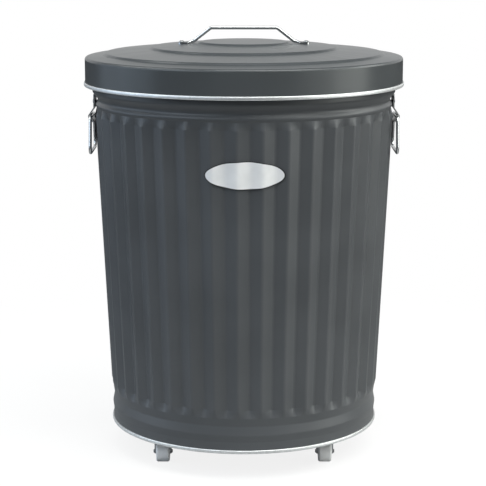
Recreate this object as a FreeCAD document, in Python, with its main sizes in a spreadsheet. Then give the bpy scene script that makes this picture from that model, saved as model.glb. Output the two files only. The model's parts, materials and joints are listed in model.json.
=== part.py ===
"""Round corrugated steel bin with a lift-off lid, two drop handles and four swivel casters.

Frame: millimetres, +Z up, the origin on the floor under the middle of the bin. The front faces -Y
and the handles are at +X and -X.
"""

import FreeCAD
import Part
import math
import os
import Sketcher

V = FreeCAD.Vector

# Driving dimensions in millimetres, or in degrees where the name ends in angle.
SIZES = {
    # sheet body
    "sheet": 1.0,
    "foot_radius": 172.5,
    "neck_radius": 194.2,
    "shell_height": 471.0,
    "seam_gap": 0.1,
    # pressed ring and groove above the foot
    "foot_band": 13.0,
    "foot_ring_rise": 8.8,
    "foot_ring_stand": 1.1,
    "foot_groove_rise": 11.0,
    "foot_groove_sink": 1.1,
    "foot_flute_rise": 10.2,
    # pressed ring and groove below the neck
    "neck_depth": 40.2,
    "neck_groove_drop": 9.5,
    "neck_groove_sink": 7.5,
    "neck_ring_drop": 6.8,
    "neck_ring_sink": 3.2,
    "neck_flute_drop": 3.5,
    "ring_bend": 4.0,
    # flutes
    "flute_depth": 5.5,
    "flute_phase_angle": -2.5,
    "crest_half_angle": 0.9,
    "crest_round": 0.8,
    "foot_crest_stand": 2.6,
    "neck_crest_sink": 2.9,
    "flute_base_drop": 2.3,
    "flute_end": 10.0,
    # rolled rim
    "wire_radius": 1.75,
    "wire_play": 0.3,
    # base pan and foot hoop
    "pan_recess": 9.0,
    "pan_corner": 3.0,
    "pan_panel_radius": 58.0,
    "pan_panel_run": 5.0,
    "pan_panel_rise": 2.0,
    "foot_hoop_gauge": 1.5,
    "foot_hoop_height": 4.4,
    # lid
    "lid_play": 2.95,
    "lid_gap": 0.3,
    "lid_skirt": 34.7,
    "lid_rim_fall": 2.7,
    "lid_outer_step": 2.7,
    "lid_outer_fall": 4.4,
    "lid_inner_step": 2.6,
    "lid_inner_fall": 4.0,
    "lid_disc_step": 2.2,
    "lid_step_run": 3.5,
    "lid_step_bend": 2.8,
    "lid_shoulder": 3.4,
    "lid_hoop_gauge": 1.2,
    "lid_hoop_height": 4.6,
    # both hoops
    "hoop_crown": 0.4,
    "hoop_joint": 0.6,
    # lid handle
    "lid_rod_radius": 2.2,
    "lid_grip_half": 42.3,
    "lid_grip_rise": 19.3,
    "lid_foot_reach": 64.4,
    "lid_foot_run": 2.6,
    "lid_rod_lift": 0.4,
    "lid_rod_bend": 5.0,
    "tab_gauge": 2.2,
    "tab_width": 8.6,
    "tab_neck": 5.0,
    "tab_length": 12.0,
    "tab_seat": 0.1,
    # drop handles
    "rod_radius": 2.1,
    "rod_play": 0.3,
    "bracket_gauge": 1.5,
    "bracket_width": 34.0,
    "bracket_seat": 0.15,
    "tunnel_stand": 4.5,
    "tunnel_drop": 16.0,
    "tunnel_top_angle": 35.0,
    "tunnel_foot_angle": 44.0,
    "bracket_rise": 12.0,
    "bracket_fall": 31.0,
    "bracket_corner": 5.0,
    "handle_shoulder": 27.0,
    "handle_half_width": 38.0,
    "handle_drop": 45.0,
    "handle_bend": 7.0,
    "handle_end_gap": 1.0,
    # blind rivets
    "rivet_radius": 2.0,
    "rivet_head_radius": 3.4,
    "rivet_head": 1.9,
    "rivet_bore": 1.1,
    "rivet_play": 0.1,
    "rivet_tail": 1.6,
    # casters
    "caster_height": 45.0,
    "caster_across": 103.5,
    "caster_along": 87.0,
    "caster_trail": 10.0,
    "plate_size": 38.0,
    "plate_gauge": 2.0,
    "plate_corner": 6.0,
    "plate_rivet_pitch": 28.0,
    "race_height": 3.0,
    "race_radius": 11.0,
    "race_groove": 1.0,
    "pin_radius": 3.0,
    "pin_head_radius": 5.4,
    "pin_head": 1.6,
    "run_play": 0.05,
    "turn_play": 0.15,
    "fork_gauge": 1.6,
    "fork_crown": 13.0,
    "fork_eye": 3.4,
    "wheel_radius": 13.6,
    "wheel_width": 17.0,
    "wheel_edge": 2.6,
    "wheel_side_play": 0.7,
    "wheel_rim": 3.4,
    "wheel_hub_radius": 4.8,
    "wheel_web": 7.0,
    "axle_radius": 1.8,
    "axle_head_radius": 2.4,
    "axle_head": 1.4,
    # how far each cutting outline runs past what it cuts
    "cut_overrun": 5.0,
}

# How many flutes go round the body.
FLUTE_COUNT = 38

# Where the lid's three pressed steps begin, as shares of its outer radius.
DISC_SHARE = 0.275
INNER_TERRACE_SHARE = 0.579
OUTER_TERRACE_SHARE = 0.869

# Bend radii of a folded hoop, as shares of its gauge.
HOOP_WEB_SHARE = 0.9
HOOP_LIP_SHARE = 0.6

# How high a rivet head's edge stands, as a share of the head.
RIVET_EDGE_SHARE = 0.35

# How far the lid handle's tabs are rounded, as a share of their half width.
TAB_ROUND_SHARE = 0.95

# How high the upper rivet sits in a bracket's upper flat, as a share of the flat.
TOP_RIVET_SHARE = 0.156

CORNERS = (("front_left", -1, -1), ("front_right", 1, -1), ("rear_left", -1, 1), ("rear_right", 1, 1))
SIDES = (("left", -1), ("right", 1))


class Size:
    """A length or angle that carries both its number and the sheet formula that gives it."""

    def __init__(self, number, formula):
        self.number = float(number)
        self.formula = formula

    def __add__(self, other):
        return Size(self.number + number_of(other), f"({self.formula} + {formula_of(other)})")

    def __radd__(self, other):
        return Size(number_of(other) + self.number, f"({formula_of(other)} + {self.formula})")

    def __sub__(self, other):
        return Size(self.number - number_of(other), f"({self.formula} - {formula_of(other)})")

    def __rsub__(self, other):
        return Size(number_of(other) - self.number, f"({formula_of(other)} - {self.formula})")

    def __mul__(self, other):
        return Size(self.number * number_of(other), f"({self.formula} * {formula_of(other)})")

    def __rmul__(self, other):
        return self * other

    def __truediv__(self, other):
        return Size(self.number / number_of(other), f"({self.formula} / {formula_of(other)})")

    def __neg__(self):
        return Size(-self.number, f"(0 - {self.formula})")


def number_of(value):
    """Give the plain number of a Size or of a number."""
    return value.number if isinstance(value, Size) else float(value)


def formula_of(value):
    """Give the sheet formula of a Size or of a number."""
    return value.formula if isinstance(value, Size) else repr(float(value))


def sine(angle):
    """Sine of an angle in degrees."""
    return Size(math.sin(math.radians(angle.number)), f"sin({angle.formula} * 1 deg)")


def cosine(angle):
    """Cosine of an angle in degrees."""
    return Size(math.cos(math.radians(angle.number)), f"cos({angle.formula} * 1 deg)")


doc = FreeCAD.newDocument("CorrugatedBin")
sheet = doc.addObject("Spreadsheet::Sheet", "Sizes")
for row, (alias, value) in enumerate(SIZES.items(), start=1):
    sheet.set(f"A{row}", alias)
    sheet.set(f"B{row}", str(value))
    sheet.setAlias(f"B{row}", alias)
doc.recompute()
S = {alias: Size(sheet.get(alias), f"Sizes.{alias}") for alias in SIZES}


def bind(item, prop, size):
    """Set a property from a size, and keep it bound to the sheet."""
    if isinstance(size, Size):
        item.setExpression(prop, size.formula)


def new_body(name):
    """Start a body with its own label."""
    body = doc.addObject("PartDesign::Body", name)
    body.Label = name
    return body


def new_sketch(body, name, role, height=None):
    """Add a sketch on one of the body's origin planes, lifted by height where one is given."""
    sketch = body.newObject("Sketcher::SketchObject", name)
    plane = next(item for item in body.Origin.OriginFeatures if item.Role == role)
    sketch.AttachmentSupport = [(plane, "")]
    sketch.MapMode = "FlatFace"
    if height is not None:
        bind(sketch, "AttachmentOffset.Base.z", height)
    return sketch


def pin_point(sketch, item, end, x, y):
    """Hold one point of a sketch at x, y."""
    for kind, size in (("DistanceX", x), ("DistanceY", y)):
        index = sketch.addConstraint(Sketcher.Constraint(kind, -1, 1, item, end, number_of(size)))
        if isinstance(size, Size):
            sketch.setExpression(f"Constraints[{index}]", size.formula)


def arc_between(start, stop, radius, turn):
    """A circular arc of the given radius from start to stop; turn is 1 for anticlockwise."""
    chord = stop - start
    middle = (start + stop) * 0.5
    side = V(-chord.y, chord.x, 0).normalize() * turn
    reach = math.sqrt(max(radius * radius - chord.Length * chord.Length / 4, 0))
    centre = middle + side * reach
    one, two = (start, stop) if turn > 0 else (stop, start)
    first = math.atan2(one.y - centre.y, one.x - centre.x)
    last = math.atan2(two.y - centre.y, two.x - centre.x)
    if last < first:
        last += 2 * math.pi
    return Part.ArcOfCircle(Part.Circle(centre, V(0, 0, 1), radius), first, last)


def draw_outline(sketch, corners, closed=True):
    """Draw lines and arcs from corner to corner, each corner held by the sheet.

    A corner is (x, y), or (x, y, radius, turn) where the edge that leads to it is an arc.
    """
    places = [V(number_of(corner[0]), number_of(corner[1]), 0) for corner in corners]
    first = 0 if closed else 1
    edges = []
    for index in range(first, len(corners)):
        corner = corners[index]
        start, stop = places[index - 1], places[index]
        if len(corner) == 4:
            edges.append(arc_between(start, stop, number_of(corner[2]), corner[3]))
        else:
            edges.append(Part.LineSegment(start, stop))
    sketch.addGeometry(edges, False)
    count = len(edges)
    # A clockwise arc is stored the other way round, so its ends change places.
    ends = [(2, 1) if len(corner) == 4 and corner[3] < 0 else (1, 2) for corner in corners[first:]]
    for item in range(count if closed else count - 1):
        follower = (item + 1) % count
        joint = (item, ends[item][1], follower, ends[follower][0])
        sketch.addConstraint(Sketcher.Constraint("Coincident", *joint))
    for item in range(count):
        corner = corners[item + first]
        pin_point(sketch, item, ends[item][1], corner[0], corner[1])
        if len(corner) == 4:
            index = sketch.addConstraint(Sketcher.Constraint("Radius", item, number_of(corner[2])))
            sketch.setExpression(f"Constraints[{index}]", formula_of(corner[2]))
    if not closed:
        pin_point(sketch, 0, ends[0][0], corners[0][0], corners[0][1])


def draw_circle(sketch, x, y, radius):
    """Draw a circle, its middle and radius held by the sheet."""
    place = V(number_of(x), number_of(y), 0)
    item = sketch.addGeometry(Part.Circle(place, V(0, 0, 1), number_of(radius)), False)
    pin_point(sketch, item, 3, x, y)
    index = sketch.addConstraint(Sketcher.Constraint("Radius", item, number_of(radius)))
    sketch.setExpression(f"Constraints[{index}]", formula_of(radius))


def revolve(body, name, corners, role="XZ_Plane"):
    """Turn a closed outline of radius and height about the body's Z axis."""
    sketch = new_sketch(body, name + "_outline", role)
    draw_outline(sketch, corners)
    turned = body.newObject("PartDesign::Revolution", name)
    turned.Profile = sketch
    turned.ReferenceAxis = (sketch, ["V_Axis"])
    turned.Angle = 360
    body.Tip = turned
    doc.recompute()
    return turned


def pad(body, name, sketch, length, midplane=True):
    """Thicken a sketch, to both sides of its plane where midplane is true."""
    thick = body.newObject("PartDesign::Pad", name)
    thick.Profile = sketch
    thick.Midplane = midplane
    bind(thick, "Length", length)
    body.Tip = thick
    doc.recompute()
    return thick


def cut_through(body, name, sketch, length):
    """Cut a sketch's outline out of the body, to both sides of its plane."""
    before = body.Shape.Volume
    pocket = body.newObject("PartDesign::Pocket", name)
    pocket.Profile = sketch
    pocket.Midplane = True
    bind(pocket, "Length", length)
    body.Tip = pocket
    doc.recompute()
    if not pocket.Shape.Volume < before:
        raise ValueError(f"{name} cuts nothing")
    return pocket


def round_edges(body, name, chosen, radius):
    """Round the edges of the body's last feature that the chosen function picks."""
    base = body.Tip
    names = [f"Edge{index}" for index, edge in enumerate(base.Shape.Edges, start=1) if chosen(edge)]
    if not names:
        raise ValueError(f"{name} finds no edge")
    rounded = body.newObject("PartDesign::Fillet", name)
    rounded.Base = (base, names)
    bind(rounded, "Radius", radius)
    body.Tip = rounded
    doc.recompute()
    return rounded


def ring_at(*places):
    """Pick the round edges about the Z axis at the given radii and heights."""
    wanted = [(number_of(radius), number_of(height)) for radius, height in places]
    near = 0.001 * S["foot_radius"].number

    def chosen(edge):
        curve = edge.Curve
        if not isinstance(curve, Part.Circle):
            return False
        if math.hypot(curve.Center.x, curve.Center.y) > near:
            return False
        return any(abs(curve.Radius - radius) < near and abs(curve.Center.z - height) < near
                   for radius, height in wanted)

    return chosen


def place(item, x=0, y=0, z=0):
    """Put a sub-part at a place that follows the sheet."""
    for axis, size in (("x", x), ("y", y), ("z", z)):
        bind(item, f"Placement.Base.{axis}", size)


# Heights and radii that several pieces share.
shell_edge = S["caster_height"] - S["pan_recess"]
curl_height = shell_edge + S["shell_height"]
shell_bore = S["foot_radius"] - S["sheet"]
flange_out = shell_bore - S["seam_gap"]
flange_in = flange_out - S["sheet"]

foot_neck_height = shell_edge + S["foot_band"]
foot_ring_height = foot_neck_height + S["foot_ring_rise"]
foot_ring_radius = S["foot_radius"] + S["foot_ring_stand"]
foot_groove_height = foot_ring_height + S["foot_groove_rise"]
foot_groove_radius = S["foot_radius"] - S["foot_groove_sink"]
flute_foot_height = foot_groove_height + S["foot_flute_rise"]

neck_flare_height = curl_height - S["neck_depth"]
neck_groove_height = neck_flare_height - S["neck_groove_drop"]
neck_groove_radius = S["neck_radius"] - S["neck_groove_sink"]
neck_ring_height = neck_groove_height - S["neck_ring_drop"]
neck_ring_radius = S["neck_radius"] - S["neck_ring_sink"]
flute_neck_height = neck_ring_height - S["neck_flute_drop"]

crest_low_height = flute_foot_height + S["flute_end"]
crest_high_height = flute_neck_height - S["flute_end"]
crest_low_radius = S["foot_radius"] + S["foot_crest_stand"]
crest_high_radius = S["neck_radius"] - S["neck_crest_sink"]
foot_base_radius = crest_low_radius - S["flute_base_drop"]
neck_base_radius = crest_high_radius - S["flute_base_drop"]

curl_bore = S["wire_radius"] + S["wire_play"]
curl_outer = curl_bore + S["sheet"]
curl_centre = S["neck_radius"] + curl_bore

skirt_in = curl_centre + curl_outer + S["lid_play"]
skirt_out = skirt_in + S["sheet"]


def crest_radius_at(height):
    """Radius of the flutes' crests at a height on the tapered wall."""
    slope = (crest_high_radius - crest_low_radius) / (crest_high_height - crest_low_height)
    return crest_low_radius + slope * (height - crest_low_height)


def polar(radius, angle, height):
    """A point at a radius and an azimuth in degrees, counted from the front towards +X."""
    turn = math.radians(angle)
    return V(radius * math.sin(turn), -radius * math.cos(turn), height)


def flute_section(crest, depth, height):
    """The fluted outline at one height: for each flute a crest arc, a flank, a valley arc, a flank."""
    pitch = 360 / FLUTE_COUNT
    phase = S["flute_phase_angle"].number
    half = S["crest_half_angle"].number
    sag = S["crest_round"].number * depth / S["flute_depth"].number
    valley = crest - depth
    edges = []
    for index in range(FLUTE_COUNT):
        ridge = phase + index * pitch
        dip = ridge + pitch / 2
        up = [polar(crest - sag, ridge - half, height), polar(crest, ridge, height),
              polar(crest - sag, ridge + half, height)]
        down = [polar(valley + sag, dip - half, height), polar(valley, dip, height),
                polar(valley + sag, dip + half, height)]
        onward = polar(crest - sag, ridge + pitch - half, height)
        edges.append(Part.Arc(*up).toShape())
        edges.append(Part.LineSegment(up[2], down[0]).toShape())
        edges.append(Part.Arc(*down).toShape())
        edges.append(Part.LineSegment(down[2], onward).toShape())
    return edges


def round_section(radius, height):
    """A circle cut at the same azimuths as a fluted outline."""
    pitch = 360 / FLUTE_COUNT
    half = S["crest_half_angle"].number
    edges = []
    for index in range(FLUTE_COUNT):
        ridge = S["flute_phase_angle"].number + index * pitch
        dip = ridge + pitch / 2
        stops = [ridge - half, ridge + half, dip - half, dip + half, ridge + pitch - half]
        for start, stop in zip(stops, stops[1:]):
            through = [polar(radius, angle, height) for angle in (start, (start + stop) / 2, stop)]
            edges.append(Part.Arc(*through).toShape())
    return edges


def fluted_wall():
    """The fluted band: a ruled sheet between round ends and fluted sections, inside and outside."""
    wall = S["sheet"].number
    levels = (
        (foot_base_radius.number, 0, flute_foot_height.number),
        (crest_low_radius.number, S["flute_depth"].number, crest_low_height.number),
        (crest_high_radius.number, S["flute_depth"].number, crest_high_height.number),
        (neck_base_radius.number, 0, flute_neck_height.number),
    )
    faces = []
    rims = []
    for skin in (0, wall):
        sections = [
            flute_section(radius - skin, depth, height) if depth else round_section(radius - skin, height)
            for radius, depth, height in levels
        ]
        for lower, upper in zip(sections, sections[1:]):
            faces.extend(Part.makeRuledSurface(one, two) for one, two in zip(lower, upper))
        rims.append((Part.Wire(sections[0]), Part.Wire(sections[-1])))
    for outer, inner in zip(*rims):
        faces.append(Part.Face([outer, inner]))
    skin_shell = Part.makeShell(faces)
    skin_shell.sewShape()
    solid = Part.makeSolid(skin_shell)
    if solid.Volume < 0:
        solid.reverse()
    return solid


def make_body_shell():
    """The sheet body: foot band, fluted wall and neck with its rolled rim, with the rivet holes."""
    inner = S["sheet"]
    foot = new_body("foot_band_blank")
    foot_outside = [
        (S["foot_radius"], shell_edge), (S["foot_radius"], foot_neck_height),
        (foot_ring_radius, foot_ring_height), (foot_groove_radius, foot_groove_height),
        (foot_base_radius, flute_foot_height),
    ]
    foot_inside = [(radius - inner, height) for radius, height in reversed(foot_outside)]
    revolve(foot, "foot_band", foot_outside + foot_inside)
    bends = foot_outside[1:4] + foot_inside[1:4]
    round_edges(foot, "foot_band_bends", ring_at(*bends), S["ring_bend"])

    neck = new_body("neck_band_blank")
    neck_outside = [
        (neck_base_radius, flute_neck_height), (neck_ring_radius, neck_ring_height),
        (neck_groove_radius, neck_groove_height), (S["neck_radius"], neck_flare_height),
    ]
    neck_inside = [(radius - inner, height) for radius, height in reversed(neck_outside)]
    curl = [
        (S["neck_radius"], curl_height),
        (curl_centre, curl_height + curl_bore, curl_bore, -1),
        (curl_centre + curl_bore, curl_height, curl_bore, -1),
        (curl_centre, curl_height - curl_bore, curl_bore, -1),
        (curl_centre, curl_height - curl_outer),
        (curl_centre + curl_outer, curl_height, curl_outer, 1),
        (curl_centre, curl_height + curl_outer, curl_outer, 1),
        (curl_centre - curl_outer, curl_height, curl_outer, 1),
    ]
    revolve(neck, "neck_band", neck_outside + curl + neck_inside)
    bends = neck_outside[1:4] + neck_inside[:3]
    round_edges(neck, "neck_band_bends", ring_at(*bends), S["ring_bend"])

    flutes = doc.addObject("Part::Feature", "fluted_wall_blank")
    flutes.Shape = fluted_wall()

    joined = doc.addObject("Part::MultiFuse", "joined_shell")
    joined.Shapes = [foot, flutes, neck]
    joined.Refine = False

    drills = []
    for side, sign in SIDES:
        for level, height in (("top", bracket_top_rivet), ("foot", bracket_foot_rivet)):
            drill = doc.addObject("Part::Cylinder", f"{side}_{level}_rivet_drill")
            bind(drill, "Radius", S["rivet_radius"] + S["rivet_play"])
            bind(drill, "Height", S["neck_radius"])
            drill.Placement = FreeCAD.Placement(V(0, 0, 0), FreeCAD.Rotation(V(0, 1, 0), 90 * sign))
            bind(drill, "Placement.Base.z", height)
            drills.append(drill)
    drilling = doc.addObject("Part::Compound", "shell_drilling")
    drilling.Links = drills
    shell = doc.addObject("Part::Cut", "body_shell")
    shell.Base = joined
    shell.Tool = drilling
    shell.Label = "body_shell"
    doc.recompute()
    return shell


def make_rim_wire():
    """The round wire that the body's rim is rolled over."""
    wire = doc.addObject("Part::Torus", "rim_wire")
    wire.Label = "rim_wire"
    bind(wire, "Radius1", curl_centre)
    bind(wire, "Radius2", S["wire_radius"])
    place(wire, z=curl_height)
    return wire


def make_base_pan():
    """The pressed floor pan: a flat floor with a raised middle and a flange down to the foot."""
    body = new_body("base_pan")
    under = S["caster_height"]
    panel_edge = S["pan_panel_radius"] + S["pan_panel_run"]
    rise = S["pan_panel_rise"]
    top = [(0, under + S["sheet"] + rise), (S["pan_panel_radius"], under + S["sheet"] + rise),
           (panel_edge, under + S["sheet"]), (flange_out, under + S["sheet"]), (flange_out, shell_edge)]
    bottom = [(flange_in, shell_edge), (flange_in, under), (panel_edge, under),
              (S["pan_panel_radius"], under + rise), (0, under + rise)]
    revolve(body, "pan_pressing", top + bottom)
    round_edges(body, "pan_outer_corner", ring_at(top[3]), S["pan_corner"])
    round_edges(body, "pan_inner_corner", ring_at(bottom[1]), S["pan_corner"] - S["sheet"])
    round_edges(body, "pan_panel_bends", ring_at(top[1], top[2], bottom[2], bottom[3]), S["pan_corner"])
    holes = new_sketch(body, "pan_rivet_holes_outline", "XY_Plane")
    reach = S["plate_rivet_pitch"] / 2
    for _, across, along in CORNERS:
        for right in (-1, 1):
            for back in (-1, 1):
                draw_circle(holes, across * S["caster_across"] + right * reach,
                            along * S["caster_along"] + back * reach, S["rivet_radius"] + S["rivet_play"])
    cut_through(body, "pan_rivet_holes", holes, 2 * (under + S["sheet"] + S["cut_overrun"]))
    return body


def make_hoop(name, slot_in, slot_out, edge, gauge, depth):
    """A channel hoop rolled over a sheet's lower edge: its face is crowned and its ends butt at the back."""
    body = new_body(name)
    web_in = edge - S["seam_gap"]
    web_out = web_in - gauge
    lip = web_out + depth
    outer = slot_out + S["seam_gap"] + gauge
    inner = slot_in - S["seam_gap"] - gauge
    crown = S["hoop_crown"]
    crown_radius = (depth * depth / 4 + crown * crown) / (2 * crown)
    revolve(body, name + "_channel", [
        (inner, web_out), (outer, web_out), (outer, lip, crown_radius, 1), (outer - gauge, lip),
        (outer - gauge, web_in), (inner + gauge, web_in), (inner + gauge, lip), (inner, lip)])
    bends = ring_at((outer, web_out), (inner, web_out))
    round_edges(body, name + "_web_bends", bends, gauge * HOOP_WEB_SHARE)
    round_edges(body, name + "_lips", ring_at((outer, lip), (inner, lip)), gauge * HOOP_LIP_SHARE)
    joint = new_sketch(body, name + "_joint_outline", "XY_Plane")
    half = S["hoop_joint"] / 2
    far = outer + S["cut_overrun"]
    draw_outline(joint, [(half, 0), (half, far), (-half, far), (-half, 0)])
    cut_through(body, name + "_joint", joint, 2 * (lip + S["cut_overrun"]))
    return body


# Lid levels, from the rim that rests on the body's rolled edge up to the middle disc.
step_radius = OUTER_TERRACE_SHARE * skirt_out
seat_height = curl_height + curl_outer + S["lid_gap"] + S["sheet"]
rim_slope = S["lid_rim_fall"] / (skirt_out - step_radius - S["lid_step_run"])
shoulder_height = seat_height - rim_slope * (skirt_out - curl_centre)
lid_levels = [
    (skirt_out, shoulder_height),
    (step_radius + S["lid_step_run"], shoulder_height + S["lid_rim_fall"]),
]
for share, step, fall in (
    (OUTER_TERRACE_SHARE, "lid_outer_step", "lid_outer_fall"),
    (INNER_TERRACE_SHARE, "lid_inner_step", "lid_inner_fall"),
):
    lid_levels.append((share * skirt_out, lid_levels[-1][1] + S[step]))
    following = INNER_TERRACE_SHARE if share == OUTER_TERRACE_SHARE else DISC_SHARE
    lid_levels.append((following * skirt_out + S["lid_step_run"], lid_levels[-1][1] + S[fall]))
lid_levels.append((DISC_SHARE * skirt_out, lid_levels[-1][1] + S["lid_disc_step"]))
skirt_edge = shoulder_height - S["lid_skirt"]

# The inner terrace's slope, where the lid handle's feet rest.
terrace_high = lid_levels[5]
terrace_low = lid_levels[4]
terrace_slope = (terrace_high[1] - terrace_low[1]) / (terrace_low[0] - terrace_high[0])


def terrace_height_at(radius):
    """Height of the lid's inner terrace at a radius."""
    return terrace_low[1] + terrace_slope * (terrace_low[0] - radius)


tab_middle = S["lid_foot_reach"] + S["lid_foot_run"] + S["tab_neck"] + S["tab_length"] - S["tab_width"] / 2


def make_lid_shell():
    """The lid: a stepped top with a rounded shoulder and a deep skirt, pressed from one sheet."""
    body = new_body("lid_shell")
    outside = [(skirt_out, skirt_edge)] + lid_levels + [(0, lid_levels[-1][1])]
    inside = [(0, lid_levels[-1][1] - S["sheet"])]
    inside += [(radius, height - S["sheet"]) for radius, height in reversed(lid_levels[1:])]
    inside += [(skirt_in, shoulder_height - S["sheet"]), (skirt_in, skirt_edge)]
    revolve(body, "lid_pressing", outside + inside)
    round_edges(body, "lid_shoulder_outer", ring_at(outside[1]), S["lid_shoulder"])
    round_edges(body, "lid_shoulder_inner", ring_at(inside[-2]), S["lid_shoulder"] - S["sheet"])
    round_edges(body, "lid_step_bends", ring_at(*(lid_levels[1:] + inside[1:-2])), S["lid_step_bend"])
    holes = new_sketch(body, "lid_rivet_holes_outline", "XY_Plane")
    for sign in (-1, 1):
        draw_circle(holes, sign * tab_middle, 0, S["rivet_radius"] + S["rivet_play"])
    cut_through(body, "lid_rivet_holes", holes, 2 * (lid_levels[-1][1] + S["cut_overrun"]))
    return body


def sweep_rod(body, name, role, path, bend, radius, start_role, start_height, start):
    """Sweep a round rod along straight runs joined by bends of one radius."""
    spine = new_sketch(body, name + "_path", role)
    draw_outline(spine, rounded_path(path, bend), closed=False)
    ring = new_sketch(body, name + "_section", start_role, start_height)
    draw_circle(ring, start[0], start[1], radius)
    rod = body.newObject("PartDesign::AdditivePipe", name)
    rod.Profile = ring
    rod.Spine = spine
    body.Tip = rod
    doc.recompute()
    return rod


def length_of(x, y):
    """Length of a step x, y."""
    number = math.hypot(number_of(x), number_of(y))
    return Size(number, f"sqrt({formula_of(x)} ^ 2 + {formula_of(y)} ^ 2)")


def rounded_path(path, bend):
    """Turn a list of corners into straight runs with an arc of one radius at each inner corner."""
    result = [path[0]]
    for before, corner, after in zip(path, path[1:], path[2:]):
        to_x, to_y = corner[0] - before[0], corner[1] - before[1]
        on_x, on_y = after[0] - corner[0], after[1] - corner[1]
        to_long, on_long = length_of(to_x, to_y), length_of(on_x, on_y)
        dot = (to_x * on_x + to_y * on_y) / (to_long * on_long)
        cross = number_of(to_x) * number_of(on_y) - number_of(to_y) * number_of(on_x)
        half_tan = Size(math.sqrt((1 - dot.number) / (1 + dot.number)),
                        f"sqrt((1 - {dot.formula}) / (1 + {dot.formula}))")
        cut = bend * half_tan
        result.append((corner[0] - cut * to_x / to_long, corner[1] - cut * to_y / to_long))
        result.append((corner[0] + cut * on_x / on_long, corner[1] + cut * on_y / on_long,
                       bend, 1 if cross > 0 else -1))
    result.append(path[-1])
    return result


def make_lid_handle():
    """The lid handle: a bent round rod whose ends are flattened into pierced tabs."""
    body = new_body("lid_handle")
    radius = S["lid_rod_radius"]
    foot_end = S["lid_foot_reach"] + S["lid_foot_run"]
    axis = terrace_height_at(S["lid_foot_reach"]) + S["lid_rod_lift"] + radius
    top = axis + S["lid_grip_rise"] - radius
    path = [(-foot_end, axis), (-S["lid_foot_reach"], axis), (-S["lid_grip_half"], top),
            (S["lid_grip_half"], top), (S["lid_foot_reach"], axis), (foot_end, axis)]
    sweep_rod(body, "grip_rod", "XZ_Plane", path, S["lid_rod_bend"], radius,
              "YZ_Plane", -foot_end, (0, axis))
    tab_start = foot_end + S["tab_neck"]
    tab_end = tab_start + S["tab_length"]
    for side, sign in SIDES:
        near = new_sketch(body, f"{side}_neck_round", "YZ_Plane", sign * foot_end)
        draw_circle(near, 0, axis, radius)
        far = new_sketch(body, f"{side}_neck_flat", "YZ_Plane", sign * tab_start)
        low = terrace_height_at(tab_start) + S["tab_seat"]
        draw_ellipse(far, 0, low + S["tab_gauge"] / 2, S["tab_width"] / 2, S["tab_gauge"] / 2)
        neck = body.newObject("PartDesign::AdditiveLoft", f"{side}_neck")
        neck.Profile = near
        neck.Sections = [far]
        body.Tip = neck
        doc.recompute()
        flat = new_sketch(body, f"{side}_tab_outline", "XZ_Plane")
        low_end = terrace_height_at(tab_end) + S["tab_seat"]
        draw_outline(flat, [
            (sign * tab_start, low), (sign * tab_end, low_end),
            (sign * tab_end, low_end + S["tab_gauge"]), (sign * tab_start, low + S["tab_gauge"])])
        pad(body, f"{side}_tab", flat, S["tab_width"])
        half = S["tab_width"] / 2
        round_edges(body, f"{side}_tab_end", upright_at((sign * tab_end, half), (sign * tab_end, -half)),
                    half * TAB_ROUND_SHARE)
    holes = new_sketch(body, "tab_holes_outline", "XY_Plane")
    for sign in (-1, 1):
        draw_circle(holes, sign * tab_middle, 0, S["rivet_radius"] + S["rivet_play"])
    cut_through(body, "tab_holes", holes, 2 * (top + S["cut_overrun"]))
    return body


def upright_at(*places):
    """Pick the upright straight edges at the given x, y."""
    wanted = [(number_of(x), number_of(y)) for x, y in places]
    near = 0.001 * S["foot_radius"].number

    def chosen(edge):
        if len(edge.Vertexes) != 2:
            return False
        middle = edge.CenterOfMass
        one, two = (vertex.Point for vertex in edge.Vertexes)
        if math.hypot(one.x - two.x, one.y - two.y) > near:
            return False
        return any(math.hypot(middle.x - x, middle.y - y) < near for x, y in wanted)

    return chosen


def draw_ellipse(sketch, x, y, half_wide, half_tall):
    """Draw an ellipse with its long axis level, its size held by the sheet."""
    place_of = V(number_of(x), number_of(y), 0)
    reach = V(number_of(half_wide), 0, 0)
    rise = V(0, number_of(half_tall), 0)
    item = sketch.addGeometry(Part.Ellipse(place_of + reach, place_of + rise, place_of), False)
    sketch.exposeInternalGeometry(item)
    major, minor = item + 1, item + 2
    pin_point(sketch, item, 3, x, y)
    sketch.addConstraint(Sketcher.Constraint("Horizontal", major))
    for line, size in ((major, 2 * half_wide), (minor, 2 * half_tall)):
        index = sketch.addConstraint(Sketcher.Constraint("Distance", line, number_of(size)))
        sketch.setExpression(f"Constraints[{index}]", size.formula)


def make_rivet(name, grip):
    """A hollow rivet along Z: a domed head above zero, a shank of the grip's length, a tail below."""
    body = new_body(name)
    shank = S["rivet_radius"]
    bore = S["rivet_bore"]
    tail = S["rivet_tail"]
    head = S["rivet_head"]
    head_radius = S["rivet_head_radius"]
    tail_radius = shank + tail / 2
    edge = head * RIVET_EDGE_SHARE
    dome = head_radius - bore
    rise = head - edge
    crown = (dome * dome + rise * rise) / (2 * rise)
    revolve(body, name + "_turned", [
        (0, -grip - tail), (tail_radius, -grip - tail), (tail_radius, -grip), (shank, -grip),
        (shank, 0), (head_radius, 0), (head_radius, edge), (bore, head, crown, 1),
        (bore, head - edge), (0, head - edge)])
    return body


def make_rivet_group(name, places):
    """Several rivets as one node; a place is x, y, z, a turn about Y in degrees and the grip."""
    members = []
    for index, (x, y, z, tilt, grip) in enumerate(places, start=1):
        rivet = make_rivet(f"{name}_{index}", grip)
        rivet.Placement = FreeCAD.Placement(V(0, 0, 0), FreeCAD.Rotation(V(0, 1, 0), tilt))
        place(rivet, x, y, z)
        members.append(rivet)
    group = doc.addObject("Part::Compound", name)
    group.Label = name
    group.Links = members
    return group


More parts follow.
